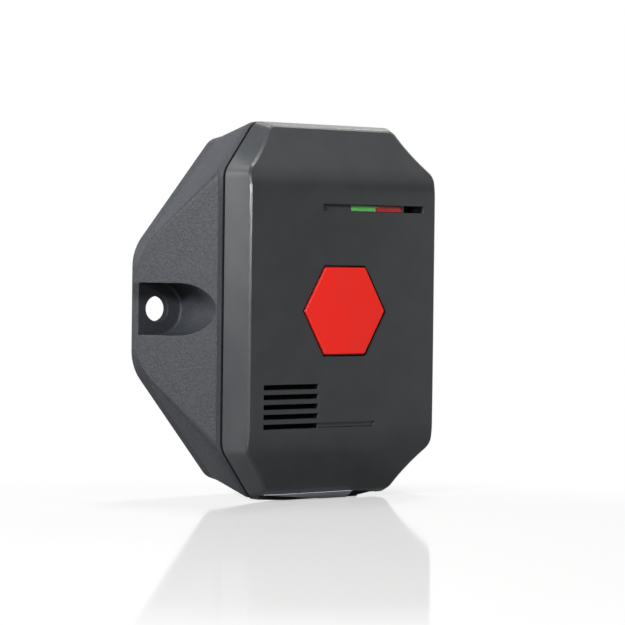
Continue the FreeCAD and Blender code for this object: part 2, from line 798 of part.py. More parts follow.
def pocket_outline(side):
    """The space for a wall screw's head and driver: round at its inner end, open at the ear's edge."""
    inner = (ear_x - pocket_shift - pocket_radius) * side
    outside = (rear_half_width + tool_overrun) * side
    almost_round = pocket_radius * 0.998
    return polygon((outside, -pocket_radius), (outside, pocket_radius),
                   (inner, pocket_radius, almost_round), (inner, -pocket_radius, almost_round))


def ear_recess(side):
    """The hollow behind an ear, which leaves its edge standing."""
    outer = (rear_half_width - ear_edge) * side
    inner = (ear_x - pocket_shift - pocket_radius) * side
    half = pocket_radius - ear_edge
    radius = ear_recess_radius
    return polygon((outer, -half, radius), (outer, half, radius), (inner, half, radius), (inner, -half, radius))


def core_outline(side, end):
    """One corner hollow of the base, seen from behind: it follows the side and the long chamfer."""
    inner_x = seam_half_width
    slope = base_flare / (rim_back - flange_thickness)
    outer_x = rear_half_width - slope * (core_depth - flange_thickness) - core_skin
    start_z = pocket_radius + wall
    skin_x = rear_half_width - wall * root(1 + rear_run * rear_run)
    outer_z = rear_corner_z + (skin_x - outer_x) / rear_run
    inner_z = rear_corner_z + (skin_x - inner_x) / rear_run
    return polygon((inner_x * side, start_z * end), (outer_x * side, start_z * end),
                   (outer_x * side, outer_z * end), (inner_x * side, inner_z * end))


def tray_floor_outline():
    """The inside of the base at its floor, where its chamfers run beside the ears' own."""
    skin_x = rear_half_width - wall * root(1 + rear_run * rear_run)
    half_width = seam_half_width - wall
    half_height = rear_half_height - wall
    side_z = rear_corner_z + (skin_x - half_width) / rear_run
    end_x = skin_x - rear_run * (half_height - rear_corner_z)
    return octagon(half_width, half_height, half_width - end_x, half_height - side_z)


def make_rear_housing():
    base = new_body("rear_housing")
    loft(base, "PartDesign::AdditiveLoft", "flange", as_length(0), rear_octagon(as_length(0)),
         flange_thickness, rear_octagon(flange_thickness))
    loft(base, "PartDesign::AdditiveLoft", "slopes", flange_thickness, rear_octagon(flange_thickness),
         rim_back, seam_octagon(as_length(0)))
    prism(base, "rim", rim_back, base_edge, seam_octagon(as_length(0)))
    cut(base, "ear_corners", 0, flange_thickness + ear_trim_height / 2, *mirrored_pair(ear_trim))

    loft(base, "PartDesign::SubtractiveLoft", "tray", floor_thickness, tray_floor_outline(),
         rim_back, inner_seam_octagon())
    cut(base, "tray_mouth", rim_back, base_edge, inner_seam_octagon())
    prism(base, "lip", base_edge, lip_end, seam_octagon(lip_inset), inner_seam_octagon())

    cut(base, "screw_pockets", flange_thickness, base_edge, *mirrored_pair(pocket_outline))
    holes = [disc(ear_x * side, 0, screw_hole_radius) for side in (1, -1)]
    cut(base, "screw_holes", 0, flange_thickness, *holes)
    cut(base, "ear_recesses", 0, ear_recess_depth, *mirrored_pair(ear_recess))
    corners = [core_outline(side, end) for side in (1, -1) for end in (1, -1)]
    cut(base, "corner_cores", 0, core_depth, *corners)

    make_tongue(base)
    recess_back = hook_back - part_clearance
    for side, name in ((1, "right"), (-1, "left")):
        middle = hook_centre * side
        half = hook_width / 2 + part_clearance
        cut(base, name + "_hook_recess", recess_back, recess_back + catch_room,
            rectangle(middle - half, middle + half, hook_top, hook_top + hook_catch + part_clearance))


def make_tongue(base):
    """The springy tongue that fills the cover's notch and is pressed in to let the cover go."""
    gap = notch_half_width + part_clearance
    room = seam_half_height - tool_overrun
    cut(base, "lip_gap", base_edge, lip_end, rectangle(-gap, gap, -seam_half_height, -room))
    tip = cover_edge + notch_depth - part_clearance
    root_depth = rim_back - tongue_root / 2
    inner_z = tongue_thickness - seam_half_height
    outer_z = -(seam_half_height + tongue_proud)
    side_prism(base, "tongue", -tongue_half_width, tongue_half_width,
               (root_depth, inner_z), (root_depth, inner_z - tongue_thickness / 2), (rim_back, -seam_half_height),
               (rim_back + tongue_proud, outer_z), (tip - part_clearance, outer_z), (tip, outer_z + part_clearance),
               (tip, inner_z))
    bottom = seam_half_height + tool_overrun
    slit_end = tongue_half_width + tongue_slit
    cut(base, "tongue_slits", base_edge - tongue_root, base_edge,
        rectangle(tongue_half_width, slit_end, -bottom, -room),
        rectangle(-slit_end, -tongue_half_width, -bottom, -room))


def make_panic_button():
    cap = new_body("panic_button")
    outside = hexagon_inset(button_gap)
    inside = hexagon_inset(button_gap + button_wall)
    plate = prism(cap, "plate", plate_back, button_front, hexagon(outside, button_corner_radius))
    ease_front_rim(cap, "soft_edge", plate, button_edge_width, 0.9)
    prism(cap, "skirt", flange_back, plate_back, hexagon(outside, button_corner_radius), hexagon(inside))
    prism(cap, "flange", flange_back, flange_front,
          hexagon(hexagon_inset(-flange_width), button_corner_radius), hexagon(inside))
    prism(cap, "stem", actuator_tip, plate_back, disc(0, 0, stem_radius))
    collar = spring_radius - spring_wire / 2 - spring_clearance
    prism(cap, "spring_collar", plate_back - collar_height, plate_back, eight_sided(0, 0, collar),
          eight_sided(0, 0, collar - collar_wall))


def make_button_spring():
    spring = new_body("button_spring")
    wire = spring_wire / 2
    start = seat_top + wire + spring_rest_gap
    height = plate_back - wire - spring_rest_gap - start
    coil(spring, "winding", 0, 0, start, spring_radius, wire, height, spring_turns)


def make_switch():
    body = new_body("switch_body")
    half = switch_width / 2
    prism(body, "case", board_front, switch_top, rectangle(-half, half, -half, half))
    actuator_back = switch_top - actuator_root
    cut(body, "actuator_bore", actuator_back - button_travel - stop_clearance, switch_top,
        disc(0, 0, actuator_radius + thread_clearance))

    actuator = new_body("switch_actuator")
    prism(actuator, "pin", actuator_back, actuator_tip, disc(0, 0, actuator_radius))

    seat = new_body("spring_seat")
    room = (spring_radius + spring_wire / 2 + spring_clearance) / math.cos(math.pi / 8)
    outer = eight_sided(0, 0, room + seat_wall)
    inner = spring_radius - spring_wire / 2 - seat_ledge
    prism(seat, "ring", board_front, seat_top, outer, eight_sided(0, 0, inner))
    prism(seat, "lip", seat_top, seat_top + seat_lip, outer, eight_sided(0, 0, room))


def make_light_guide(name, left):
    """A clear window with a flange behind the cover and a pipe down to its lamp."""
    guide = new_body(name)
    low, high = groove_low + lens_clearance, groove_high - lens_clearance
    right = left + lens_length - lens_clearance * 2
    back = inner_face - stop_clearance
    prism(guide, "window", back, groove_floor, rectangle(left, right, low, high))
    prism(guide, "flange", back - lens_flange, back,
          rectangle(left, right, low - lens_flange, high + lens_flange))
    middle = (left + right) / 2
    pipe_back = board_front + led_height + stop_clearance
    prism(guide, "pipe", pipe_back, back - lens_flange,
          rectangle(middle - light_pipe_length / 2, middle + light_pipe_length / 2, low, high))


def make_led(name, left):
    """A surface-mount lamp: a pale case with a round window."""
    led = new_body(name)
    middle = left + lens_length / 2 - lens_clearance
    case_front = board_front + led_case
    prism(led, "case", board_front, case_front,
          rectangle(middle - led_length / 2, middle + led_length / 2,
                    groove_centre - led_width / 2, groove_centre + led_width / 2))
    prism(led, "window", case_front, board_front + led_height, disc(middle, groove_centre, led_window_radius))


def make_indicators():
    green_start = green_left + lens_clearance
    red_start = green_start + lens_length
    make_light_guide("light_guide_green", green_start)
    make_light_guide("light_guide_red", red_start)
    make_led("led_green", green_start)
    make_led("led_red", red_start)


def make_microphone():
    microphone = new_body("microphone")
    prism(microphone, "can", board_front, board_front + microphone_height,
          disc(microphone_x, groove_centre, microphone_radius))
    boot = new_body("microphone_boot")
    inner = microphone_radius + thread_clearance
    prism(boot, "sleeve", board_front, inner_face - stop_clearance,
          disc(microphone_x, groove_centre, inner + boot_wall), disc(microphone_x, groove_centre, inner))


def make_speaker():
    mesh = new_body("grille_mesh")
    prism(mesh, "cloth", inner_face, inner_face + mesh_thickness, mesh_outline(mesh_clearance))

    frame = new_body("speaker_frame")
    basket_back = speaker_front - basket_depth
    shelf = basket_back + basket_floor
    prism(frame, "rim", shelf, speaker_front, *speaker_ring(speaker_radius - speaker_rim_width, speaker_radius))
    prism(frame, "floor", basket_back, shelf, *speaker_ring(magnet_radius + stop_clearance, speaker_radius))

    magnet = new_body("speaker_magnet")
    back = speaker_front - speaker_depth
    prism(magnet, "pot", back, shelf, disc(speaker_x, grille_centre, magnet_radius))

    cone = new_body("speaker_cone")
    edge = speaker_radius - speaker_rim_width - stop_clearance
    face = speaker_front - diaphragm_setback
    crown = face + dome_rise
    film = diaphragm_film
    turned(cone, "diaphragm", speaker_x, grille_centre,
           (face, edge), (face, dome_radius), (crown, dome_radius), (crown, 0), (crown - film, 0),
           (crown - film, dome_radius - film), (face - film, dome_radius - film), (face - film, edge))

    terminals = new_body("speaker_terminals")
    pad_low = grille_centre - terminal_pad / 2
    pad_high = grille_centre + terminal_pad / 2
    strip = terminal_strip
    for side, name in ((1, "right"), (-1, "left")):
        middle = speaker_x + terminal_offset * side
        side_prism(terminals, name + "_finger", middle - terminal_width / 2, middle + terminal_width / 2,
                   (board_front, pad_low), (board_front, pad_high),
                   (back, pad_high + terminal_rise), (back, pad_high + terminal_rise - strip),
                   (board_front + strip, pad_high - strip), (board_front + strip, pad_low))


def make_circuit_board():
    board = new_body("circuit_board")
    prism(board, "sheet", board_back, board_front,
          octagon(board_half_width, board_half_height, board_chamfer_width, board_chamfer_height))
    cut(board, "screw_holes", board_back, board_front, *at_bosses(eight_sided, screw_radius + screw_hole_clearance))

    screws = new_body("board_screws")
    prism(screws, "heads", board_back - screw_head_height, board_back, *at_bosses(eight_sided, screw_head_radius))
    prism(screws, "shanks", board_back, board_front + screw_length, *at_bosses(eight_sided, screw_radius))


def make_radio():
    left = card_side_margin - board_half_width
    right = left + card_width
    high = antenna_z - card_antenna_gap
    low = high - card_height
    card_front = board_front + card_thickness
    card = new_body("radio_card")
    prism(card, "sheet", board_front, card_front, rectangle(left, right, low, high))
    shield = new_body("radio_shield")
    prism(shield, "can", card_front, card_front + shield_height,
          rectangle(left + shield_margin, right - shield_margin, low + shield_margin, high - shield_top_margin))

    antenna = new_body("antenna")
    wire = antenna_wire / 2
    start = board_front + antenna_foot
    coil(antenna, "winding", antenna_x, antenna_z, start, antenna_radius, wire, antenna_height, antenna_turns)
    prism(antenna, "foot", board_front, start, disc(antenna_x, antenna_z + antenna_radius, wire))


def make_microcontroller():
    """A flat chip with a row of leads down its two sides."""
    chip = new_body("microcontroller")
    x = board_half_width - chip_edge_distance
    half_width, half_length = chip_width / 2, chip_length / 2
    prism(chip, "case", board_front + chip_standoff, board_front + chip_height,
          rectangle(x - half_width, x + half_width, chip_centre_z - half_length, chip_centre_z + half_length))
    leads = []
    for row in range(lead_count):
        middle = chip_centre_z + lead_pitch * (row - (lead_count - 1) / 2)
        low, high = middle - lead_width / 2, middle + lead_width / 2
        leads.append(rectangle(x + half_width - lead_root, x + half_width + lead_reach, low, high))
        leads.append(rectangle(x - half_width - lead_reach, x - half_width + lead_root, low, high))
    prism(chip, "leads", board_front, board_front + lead_height, *leads)


def make_small_parts():
    make_microcontroller()
    crystal = new_body("crystal")
    right = board_half_width - crystal_edge_distance
    prism(crystal, "can", board_front, board_front + crystal_height,
          rectangle(right - crystal_length, right, crystal_top - crystal_width, crystal_top, crystal_end_radius))
    capacitor = new_body("capacitor")
    prism(capacitor, "can", board_front, board_front + capacitor_height,
          disc(board_half_width - capacitor_edge_distance, grille_centre + capacitor_grille_distance,
               capacitor_radius))


def make_batteries():
    cell_depth = board_back - holder_wall - cell_radius
    half_length = cell_length / 2
    for side, name in ((1, "battery_right"), (-1, "battery_left")):
        cell = new_body(name)
        foot, shoulder, tip = -half_length * side, (half_length - nub_height) * side, half_length * side
        turned_upright(cell, "cell", cell_pitch * side / 2, cell_depth,
                       (0, foot), (cell_radius, foot), (cell_radius, shoulder), (nub_radius, shoulder),
                       (nub_radius, tip), (0, tip))

    holder = new_body("battery_holder")
    bay = cell_radius + cell_clearance
    outer_x = cell_pitch / 2 + bay + holder_wall
    inner_z = half_length + contact_room
    outer_z = inner_z + holder_wall
    open_back = board_back - holder_height
    prism(holder, "block", open_back, board_back,
          rectangle(-outer_x, outer_x, -outer_z, outer_z, holder_corner_radius))
    bays = [rectangle(cell_pitch * side / 2 - bay, cell_pitch * side / 2 + bay, -inner_z, inner_z)
            for side in (1, -1)]
    cut(holder, "bays", open_back, board_back - holder_wall + stop_clearance, *bays)
    web = cell_pitch / 2 - bay + stop_clearance
    cut(holder, "bridge_passage", open_back, board_back - holder_wall,
        rectangle(-web, web, -inner_z, contact_room / 2 - inner_z))
    beyond = outer_x + tool_overrun
    cut(holder, "finger_scoop", open_back, open_back + scoop_depth,
        rectangle(-beyond, beyond, -scoop_half_length, scoop_half_length))


def make_contacts():
    """Strips at the ends of the battery bays: a pad for each plus end, a bowed leaf for each minus end."""
    cell_depth = board_back - holder_wall - cell_radius
    wall_z = cell_length / 2 + contact_room
    plate_z = wall_z - contact_thickness
    half = cell_radius - contact_inset
    low, high = cell_depth - contact_skirt, board_back - holder_wall
    middle = cell_pitch / 2
    for name, x in (("contact_plus", middle), ("contact_minus", -middle)):
        strip = new_body(name)
        side_prism(strip, "plate", x - half, x + half,
                   (low, wall_z), (high, wall_z), (high, plate_z), (low, plate_z))
        make_leaf(strip, "leaf", x, 1, cell_depth, wall_z)
    bridge = new_body("contact_bridge")
    side_prism(bridge, "plate", -middle - half, middle + half,
               (low, -wall_z), (high, -wall_z), (high, -plate_z), (low, -plate_z))
    make_leaf(bridge, "right_leaf", middle, -1, cell_depth, wall_z)
    make_leaf(bridge, "left_leaf", -middle, -1, cell_depth, wall_z)


def make_leaf(strip, name, x, end, cell_depth, wall_z):
    """A bent spring leaf that stands off its plate to meet the end of a cell."""
    thick = contact_thickness
    tip = cell_length / 2 + leaf_gap
    root_z = wall_z - thick / 2
    wide, narrow = leaf_half_root, leaf_half_root - thick * 1.2
    crown = leaf_half_crown
    side_prism(strip, name, x - leaf_half_width, x + leaf_half_width,
               (cell_depth - wide, root_z * end), (cell_depth - crown, tip * end), (cell_depth + crown, tip * end),
               (cell_depth + wide, root_z * end), (cell_depth + narrow, root_z * end),
               (cell_depth + crown - thick / 2, (tip + thick) * end),
               (cell_depth - crown + thick / 2, (tip + thick) * end), (cell_depth - narrow, root_z * end))


def check_and_export():
    """Stops on any failed feature or broken solid, and then writes one file for each sub-part."""
    doc.recompute()
    for feature in doc.Objects:
        if "Invalid" in feature.State or "Error" in feature.State:
            raise RuntimeError(f"{feature.Name} failed: {feature.State}")
    for body in pieces:
        shape = body.Shape
        if shape.isNull() or not shape.isValid() or shape.Volume <= 0:
            raise RuntimeError(f"{body.Label} has no sound shape")
    os.makedirs("parts", exist_ok=True)
    for body in pieces:
        body.Shape.exportStep(f"parts/{body.Label}.step")
        print(body.Label, "solids", len(body.Shape.Solids), "volume", round(body.Shape.Volume, 1))


make_front_cover()
make_rear_housing()
make_panic_button()
make_button_spring()
make_switch()
make_indicators()
make_microphone()
make_speaker()
make_circuit_board()
make_radio()
make_small_parts()
make_batteries()
make_contacts()
check_and_export()
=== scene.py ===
"""The wall panic button as it looks: grained dark housing, satin cover, red button, tinted windows."""
import math

import bpy
from mathutils import Matrix, Vector


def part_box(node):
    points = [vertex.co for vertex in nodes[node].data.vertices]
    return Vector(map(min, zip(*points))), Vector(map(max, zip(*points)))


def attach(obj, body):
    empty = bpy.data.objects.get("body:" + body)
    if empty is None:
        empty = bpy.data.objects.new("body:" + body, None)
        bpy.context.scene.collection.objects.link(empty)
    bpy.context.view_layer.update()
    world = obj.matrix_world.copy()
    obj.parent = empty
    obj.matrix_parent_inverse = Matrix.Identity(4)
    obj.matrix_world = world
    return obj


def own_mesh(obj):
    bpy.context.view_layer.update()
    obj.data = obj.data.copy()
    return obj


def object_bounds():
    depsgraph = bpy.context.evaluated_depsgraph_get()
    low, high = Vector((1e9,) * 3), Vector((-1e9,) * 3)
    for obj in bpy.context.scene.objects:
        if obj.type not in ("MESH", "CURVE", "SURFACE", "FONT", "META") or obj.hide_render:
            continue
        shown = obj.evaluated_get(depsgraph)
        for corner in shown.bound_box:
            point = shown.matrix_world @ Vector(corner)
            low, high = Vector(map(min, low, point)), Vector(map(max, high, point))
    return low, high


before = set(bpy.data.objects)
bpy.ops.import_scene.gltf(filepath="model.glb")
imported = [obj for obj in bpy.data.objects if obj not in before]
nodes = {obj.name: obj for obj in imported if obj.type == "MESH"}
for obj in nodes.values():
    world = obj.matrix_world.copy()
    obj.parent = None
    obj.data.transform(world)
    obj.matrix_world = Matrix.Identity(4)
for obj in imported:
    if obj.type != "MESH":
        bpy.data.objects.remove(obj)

cad_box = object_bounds()
MM = 0.001

# The photograph's view: turned and tipped from the object's own front, in degrees
VIEW_TURN = 37.16
VIEW_TIP = 1.16
VIEW_ROLL = 0.70
CAMERA_PLACE = Vector((-329.85, -450.26, 10.45)) * MM
LENS = 144.2
SENSOR = 36.0
CLIP_START = 10 * MM

# The point of the object that every lamp faces
CENTRE = Vector((0.0, -13.0, 0.0)) * MM

FLOOR_GAP = 0.05 * MM
FLOOR_SIZE = 6.0
# The floor is grey round this point, in front of the object, and turns white between the two distances
FLOOR_MIDDLE = Vector((-53.0, -73.0, 0.0)) * MM
GREY_END = (85 * MM, 140 * MM)
GREY_WHITENESS = 0.54
# Gloss sees the whole brightness of the floor only to the left of the object and in front of it
CARD_RIGHT = (-45 * MM, -25 * MM)
CARD_BACK = (-10 * MM, 6 * MM)
BEYOND_CARD = 0.30
# Gloss sees the white backdrop behind the object, dimmer towards the left
BACKDROP_FRONT = (-0.35, 0.25)
BACKDROP_LEFT = (-0.2, 0.3)
LEFT_OF_BACKDROP = 0.2

# A pair below says where a look begins to change and where the change is complete. Depth counts from the
# wall towards the viewer as minus, across from the middle to the right, and up from the middle height.
FACE = -26.5 * MM
# The base's rim ends this far from the wall, and the seam's shadow gap begins
RIM_FRONT = 17.6 * MM
BASE_SEAM = (RIM_FRONT - 0.27 * MM, RIM_FRONT - 0.19 * MM)
COVER_SEAM = (-RIM_FRONT - 0.72 * MM, -RIM_FRONT - 0.66 * MM)
# The rim's edge is rounder than the base's other edges, and so are the edges of the screw pocket's floor
ROUND_RIM = (14.5 * MM, 15.5 * MM)
POCKET_FLOOR = (-6 * MM, -4 * MM)
POCKET_FLOOR_ACROSS = (31 * MM, 33.5 * MM)
POCKET_FLOOR_UP = (4.5 * MM, 6 * MM)
# The shadow in the upper half of the screw pocket
SHADOW_FOOT = (0.5 * MM, 3.5 * MM)
SHADOW_TOP = (5.45 * MM, 5.6 * MM)
SHADOW_FRONT = (-14 * MM, -10 * MM)
SHADOW_ACROSS = (22 * MM, 24 * MM)
HOLE_PLACE = 32.5 * MM
HOLE_WALL = (2.72 * MM, 2.82 * MM)
# The cover's openings are painted dark as shade from here inwards, and its shallow grooves get a painted
# dark edge of shade
OPENING = (FACE + 0.45 * MM, FACE + 0.65 * MM)
GROOVE = (FACE + 0.1 * MM, FACE + 0.3 * MM)
# Fields of the cover's face: their left and right end, then their foot and top, in millimetres
SLOT_FIELD = ((-21.8, -6.2), (-26, -14))
WINDOW_FIELD = ((1, 22), (21, 23.2))
GROOVE_TOP = ((-6.1, 2), (22.35, 23))
TAIL_FOOT = ((-6.6, 8.3), (-24.98, -24.72))
# Behind the button's front end its sides begin, which are painted darker as shade
BUTTON_SIDE = (0.04 * MM, 0.16 * MM)
WINDOW_TOP = 22.8 * MM
WINDOW_SHADE = (WINDOW_TOP - 0.65 * MM, WINDOW_TOP - 0.15 * MM)
# A cell's band and plus cap lie this far below its top, and its bare foot this far above its lower end
CELL_BAND = (11.6 * MM, 11.3 * MM)
CELL_CAP = (1.7 * MM, 1.6 * MM)
CELL_FOOT = (0.6 * MM, 0.7 * MM)
# The capacitor's sleeve begins this far behind its front end
CAN_SLEEVE = (0.25 * MM, 0.35 * MM)

LENS_PITCH = 0.55 * MM
WEAVE_PITCH = 0.24 * MM
TRACK_PITCH = 1.27 * MM
CONE_PITCH = 0.7 * MM
MOULDED_GRAIN = 0.3 * MM
BEVEL_SAMPLES = 6
# How far the rounded direction leans away from the face where an edge begins to show, then shows in full
EDGE_LEAN = (0.004, 0.10)

SHADOW_BLACK = (0.002, 0.002, 0.003)


def deselect():
    """Leaves nothing selected, so an operator only works on what is chosen next."""
    if bpy.context.object and bpy.context.object.mode != "OBJECT":
        bpy.ops.object.mode_set(mode="OBJECT")
    bpy.ops.object.select_all(action="DESELECT")


def node(tree, kind, settings, inputs, output=0):
    """Adds a node: its settings first, then the values or links of its sockets."""
    made = tree.nodes.new(kind)
    for name, value in settings.items():
        setattr(made, name, value)
    for place, value in inputs.items():
        set_socket(tree, made.inputs[place], value)
    return Paint(tree, made.outputs[output])


def set_socket(tree, socket, value):
    """Links a socket, or gives it a plain value."""
    if isinstance(value, Paint):
        tree.links.new(value.socket, socket)
    else:
        socket.default_value = value


class Paint:
    """A socket in a node tree, with arithmetic that adds the nodes for it."""

    def __init__(self, tree, socket):
        self.tree = tree
        self.socket = socket

    def maths(self, operation, *values):
        return node(self.tree, "ShaderNodeMath", {"operation": operation}, dict(enumerate(values)))

    def __add__(self, other):
        return self.maths("ADD", self, other)

    def __sub__(self, other):
        return self.maths("SUBTRACT", self, other)

    def __rsub__(self, other):
        return self.maths("SUBTRACT", other, self)

    def __mul__(self, other):
        return self.maths("MULTIPLY", self, other)

    __radd__ = __add__

    def larger(self, other):
        return self.maths("MAXIMUM", self, other)

    def size(self):
        return self.maths("ABSOLUTE", self)

    def root(self):
        return self.maths("SQRT", self)

    def wave(self, pitch):
        """Runs from 0 to 1 and back once in every pitch."""
        return self.maths("SINE", self * (2 * math.pi / pitch)) * 0.5 + 0.5

    def rise(self, low, high):
        """The value's share of the way from low to high, held between 0 and 1."""
        inputs = {"Value": self, "From Min": low, "From Max": high}
        return node(self.tree, "ShaderNodeMapRange", {"interpolation_type": "SMOOTHSTEP"}, inputs)

    def within(self, low, high, soft=0.04 * MM):
        """1 between two values, fading out over a short way at both ends."""
        return self.rise(low - soft, low + soft) * (1 - self.rise(high - soft, high + soft))

    def vector_maths(self, operation, *others):
        """Arithmetic on vectors, where a length or a dot product comes out as one number."""
        output = "Value" if operation in ("LENGTH", "DOT_PRODUCT") else "Vector"
        inputs = dict(enumerate((self, *others)))
        return node(self.tree, "ShaderNodeVectorMath", {"operation": operation}, inputs, output)

    def parts(self):
        """The X, Y and Z of a vector."""
        return [node(self.tree, "ShaderNodeSeparateXYZ", {}, {0: self}, axis) for axis in range(3)]


def place_of(tree, output="Object"):
    """The place of the shaded point, in the object's own metres unless another output is named."""
    return node(tree, "ShaderNodeTexCoord", {}, {}, output)


def darker(colour, share):
    return tuple(channel * share for channel in colour)


class Material:
    """A principled material whose plain values sit on its sockets."""

    def __init__(self, name, colour, roughness, **sockets):
        self.material = bpy.data.materials.new(name)
        self.material.use_nodes = True
        self.tree = self.material.node_tree
        self.shader = self.tree.nodes["Principled BSDF"]
        self.place = place_of(self.tree)
        self.set("Base Color", (*colour, 1.0))
        self.set("Roughness", roughness)
        for socket, value in sockets.items():
            self.set(socket.replace("_", " "), value)
        self.material.diffuse_color = (*colour, 1.0)

    def set(self, name, value):
        set_socket(self.tree, self.shader.inputs[name], value)

    def around(self, centre):
        """Coordinates measured from a point of the object."""
        return self.place.vector_maths("SUBTRACT", centre)

    def noise(self, size, detail=2.0, stretch=(1.0, 1.0, 1.0)):
        """Soft noise in patches about this many metres across, longer along the stretched axes."""
        vector = self.place.vector_maths("MULTIPLY", tuple(1.0 / share for share in stretch))
        inputs = {"Vector": vector, "Scale": 1 / size, "Detail": detail}
        return node(self.tree, "ShaderNodeTexNoise", {}, inputs)

    def blend(self, amount, first, second):
        """A colour between two, by an amount from 0 to 1."""
        colours = [colour if isinstance(colour, Paint) else (*colour, 1.0) for colour in (first, second)]
        return node(self.tree, "ShaderNodeMix", {"data_type": "RGBA"},
                    {"Factor": amount, 6: colours[0], 7: colours[1]}, 2)

    def rounded(self, radius):
        """The surface's direction with its edges rounded to a radius."""
        return node(self.tree, "ShaderNodeBevel", {"samples": BEVEL_SAMPLES}, {"Radius": radius})

    def edges(self, radius):
        """1 along the edges, fading to 0 on plain faces."""
        facing = node(self.tree, "ShaderNodeNewGeometry", {}, {}, "Normal")
        along = self.rounded(radius).vector_maths("DOT_PRODUCT", facing)
        return (1 - along).rise(*EDGE_LEAN)

    def relief(self, height, depth, soft_edge=None):
        """Raises the surface by depth where height is 1, and rounds edges to the soft_edge radius."""
        inputs = {"Height": height, "Distance": depth}
        if soft_edge is not None:
            inputs["Normal"] = self.rounded(soft_edge)
        self.set("Normal", node(self.tree, "ShaderNodeBump", {}, inputs))


def make_base_plastic():
    """Dark bluish grey plastic with the fine grain of a spark-eroded mould, with painted shade inside
    the seam and the screw hole, a painted shadow in the screw pocket's upper half and painted highlights
    along the edges.
    """
    plastic = Material("base_plastic", (0.025, 0.028, 0.034), 0.55, Specular_IOR_Level=0.3)
    across, depth, up = plastic.place.parts()
    grain = plastic.noise(0.30 * MM, 2.0) * 0.6 + plastic.noise(0.62 * MM, 1.0) * 0.4
    tone = grain.rise(0.36, 0.64)
    skin = plastic.blend(tone, (0.0200, 0.0226, 0.0285), (0.0295, 0.0328, 0.0400))
    shadow = up.rise(*SHADOW_FOOT) * (1 - up.rise(*SHADOW_TOP)) * depth.rise(*SHADOW_FRONT)
    shadow = shadow * across.size().rise(*SHADOW_ACROSS) * 0.9
    skin = plastic.blend(shadow, skin, (0.003, 0.003, 0.004))
    # Painted highlight: the edges are painted lighter, as the light that catches them.
    skin = plastic.blend(plastic.edges(0.25 * MM) * 0.8, skin, (0.046, 0.049, 0.057))
    # Painted shade: the base's lip inside the seam and the screw hole's wall are painted near black.
    in_seam = (0 - depth).rise(*BASE_SEAM)
    from_hole = across.size() - HOLE_PLACE
    in_hole = 1 - (from_hole * from_hole + up * up).root().rise(*HOLE_WALL)
    seam_and_hole_shade = in_seam.larger(in_hole * 0.85)
    plastic.set("Base Color", plastic.blend(seam_and_hole_shade, skin, SHADOW_BLACK))
    plastic.set("Roughness", 0.58 - tone * 0.10 + seam_and_hole_shade * 0.4)
    in_pocket = (1 - across.size().rise(*POCKET_FLOOR_ACROSS)) * (1 - up.size().rise(*POCKET_FLOOR_UP))
    deep = depth.rise(*POCKET_FLOOR) * in_pocket
    by_rim = (0 - depth).rise(*ROUND_RIM)
    plastic.relief(grain, 0.10 * MM, 0.22 * MM + deep * (0.9 * MM) + by_rim * (0.4 * MM))
    return plastic.material


def make_cover_plastic():
    """The same plastic with a finer satin finish, with painted shade in the seam, inside the slots and
    windows and along the grooves' edges.
    """
    plastic = Material("cover_plastic", (0.042, 0.045, 0.049), 0.3, Specular_IOR_Level=0.42)
    fine = plastic.noise(0.16 * MM, 1.0)
    broad = plastic.noise(7 * MM, 2.0).rise(0.3, 0.7)
    across, depth, up = plastic.place.parts()

    def field(ends, soft=0.04 * MM):
        (left, right), (foot, top) = ends
        return across.within(left * MM, right * MM) * up.within(foot * MM, top * MM, soft)

    satin = plastic.blend(broad, (0.037, 0.040, 0.044), (0.042, 0.045, 0.049))
    in_opening = depth.rise(*OPENING)
    in_groove = depth.rise(*GROOVE)
    # Painted shade: the seam, the insides of the slots and windows and the grooves' edges are painted
    # near black.
    dark = depth.rise(*COVER_SEAM).larger(field(SLOT_FIELD) * in_opening)
    dark = dark.larger(field(WINDOW_FIELD) * in_opening)
    dark = dark.larger(field(GROOVE_TOP, 0.15 * MM) * 0.8 * in_groove)
    dark = dark.larger(field(TAIL_FOOT) * 0.7 * in_groove)
    plastic.set("Base Color", plastic.blend(dark, satin, SHADOW_BLACK))
    plastic.set("Roughness", 0.235 + fine * 0.04 + dark * 0.4)
    plastic.relief(fine, 0.004 * MM, 0.12 * MM)
    return plastic.material


def make_button_plastic():
    """Smooth bright red, with painted shade darkening the sides that stand in the opening."""
    plastic = Material("button_plastic", (0.92, 0.022, 0.014), 0.36, Specular_IOR_Level=0.25)
    fine = plastic.noise(0.2 * MM, 1.0)
    broad = plastic.noise(5 * MM, 2.0).rise(0.3, 0.7)
    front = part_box("panic_button")[0][1]
    side = plastic.place.parts()[1].rise(front + BUTTON_SIDE[0], front + BUTTON_SIDE[1])
    face = plastic.blend(broad, (0.93, 0.025, 0.016), (0.97, 0.022, 0.013))
    # Painted shade: the sides in the opening are painted dark red.
    plastic.set("Base Color", plastic.blend(side, face, (0.20, 0.004, 0.004)))
    plastic.set("Roughness", 0.32 + fine * 0.08)
    plastic.relief(fine, 0.006 * MM, 0.08 * MM)
    return plastic.material


def make_lens(name, deep, clear):
    """Tinted clear plastic with a painted shadow darkening its top, and faint upright ribs that spread
    the light.
    """
    lens = Material(name, clear, 0.2, Specular_IOR_Level=0.5, Coat_Weight=0.4, Coat_Roughness=0.08)
    across, _, up = lens.place.parts()
    ribs = across.wave(LENS_PITCH)
    shade = up.rise(*WINDOW_SHADE)
    tint = lens.blend(ribs * 0.6, clear, deep)
    lens.set("Base Color", lens.blend(shade, tint, darker(clear, 0.16)))
    lens.set("Roughness", 0.18 + ribs * 0.1)
    lens.relief(ribs, 0.03 * MM, 0.08 * MM)
    return lens.material


def make_cloth():
    """Fine black acoustic cloth, woven over and under."""
    cloth = Material("black_cloth", (0.0035, 0.0035, 0.0035), 0.9, Specular_IOR_Level=0.1)
    across, _, up = cloth.place.parts()
    weave = across.wave(WEAVE_PITCH) * up.wave(WEAVE_PITCH)
    cloth.set("Base Color", cloth.blend(weave, (0.002, 0.002, 0.002), (0.005, 0.005, 0.0055)))
    cloth.relief(weave, 0.05 * MM)
    return cloth.material


